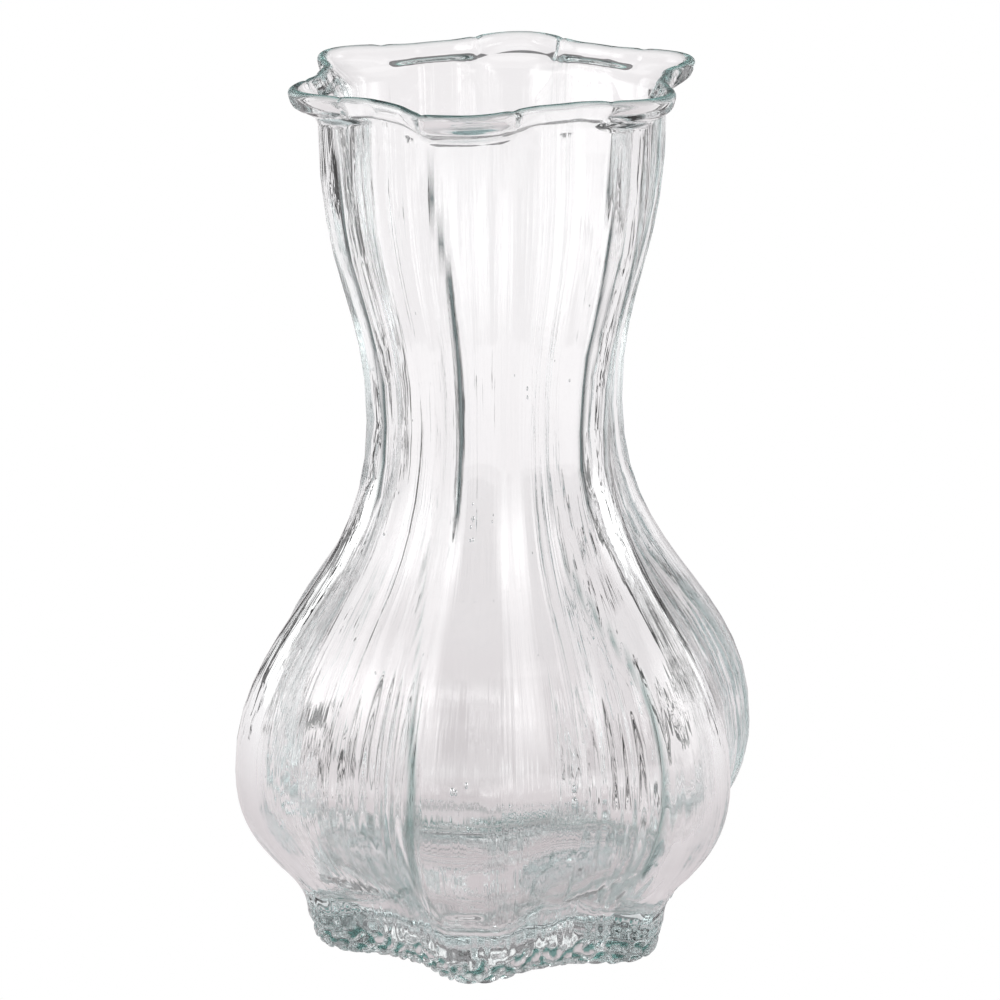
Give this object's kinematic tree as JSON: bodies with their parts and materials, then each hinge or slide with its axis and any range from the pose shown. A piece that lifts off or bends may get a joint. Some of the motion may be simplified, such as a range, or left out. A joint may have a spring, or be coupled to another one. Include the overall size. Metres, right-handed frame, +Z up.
{
  "type": "flower vase",
  "caption": "Onion-shaped clear glass vase with a lobed bulb, a waisted neck, a ruffled flared lip and a thick scalloped foot.",
  "frame": {"origin": "middle of the ring that the foot stands on, at table height", "axes": "+Z up along the vase's axis, -Y towards the middle of the lobe that faces the viewer"},
  "size_m": [0.1348, 0.15, 0.24],
  "materials": {
    "clear_glass": "fire-polished clear glass with a faint green tint where it is thick, fine upright draw lines and a few seeds"
  },
  "bodies": {
    "root": {"body": "clear_glass", "foot": "clear_glass", "lip": "clear_glass"}
  },
  "joints": []
}
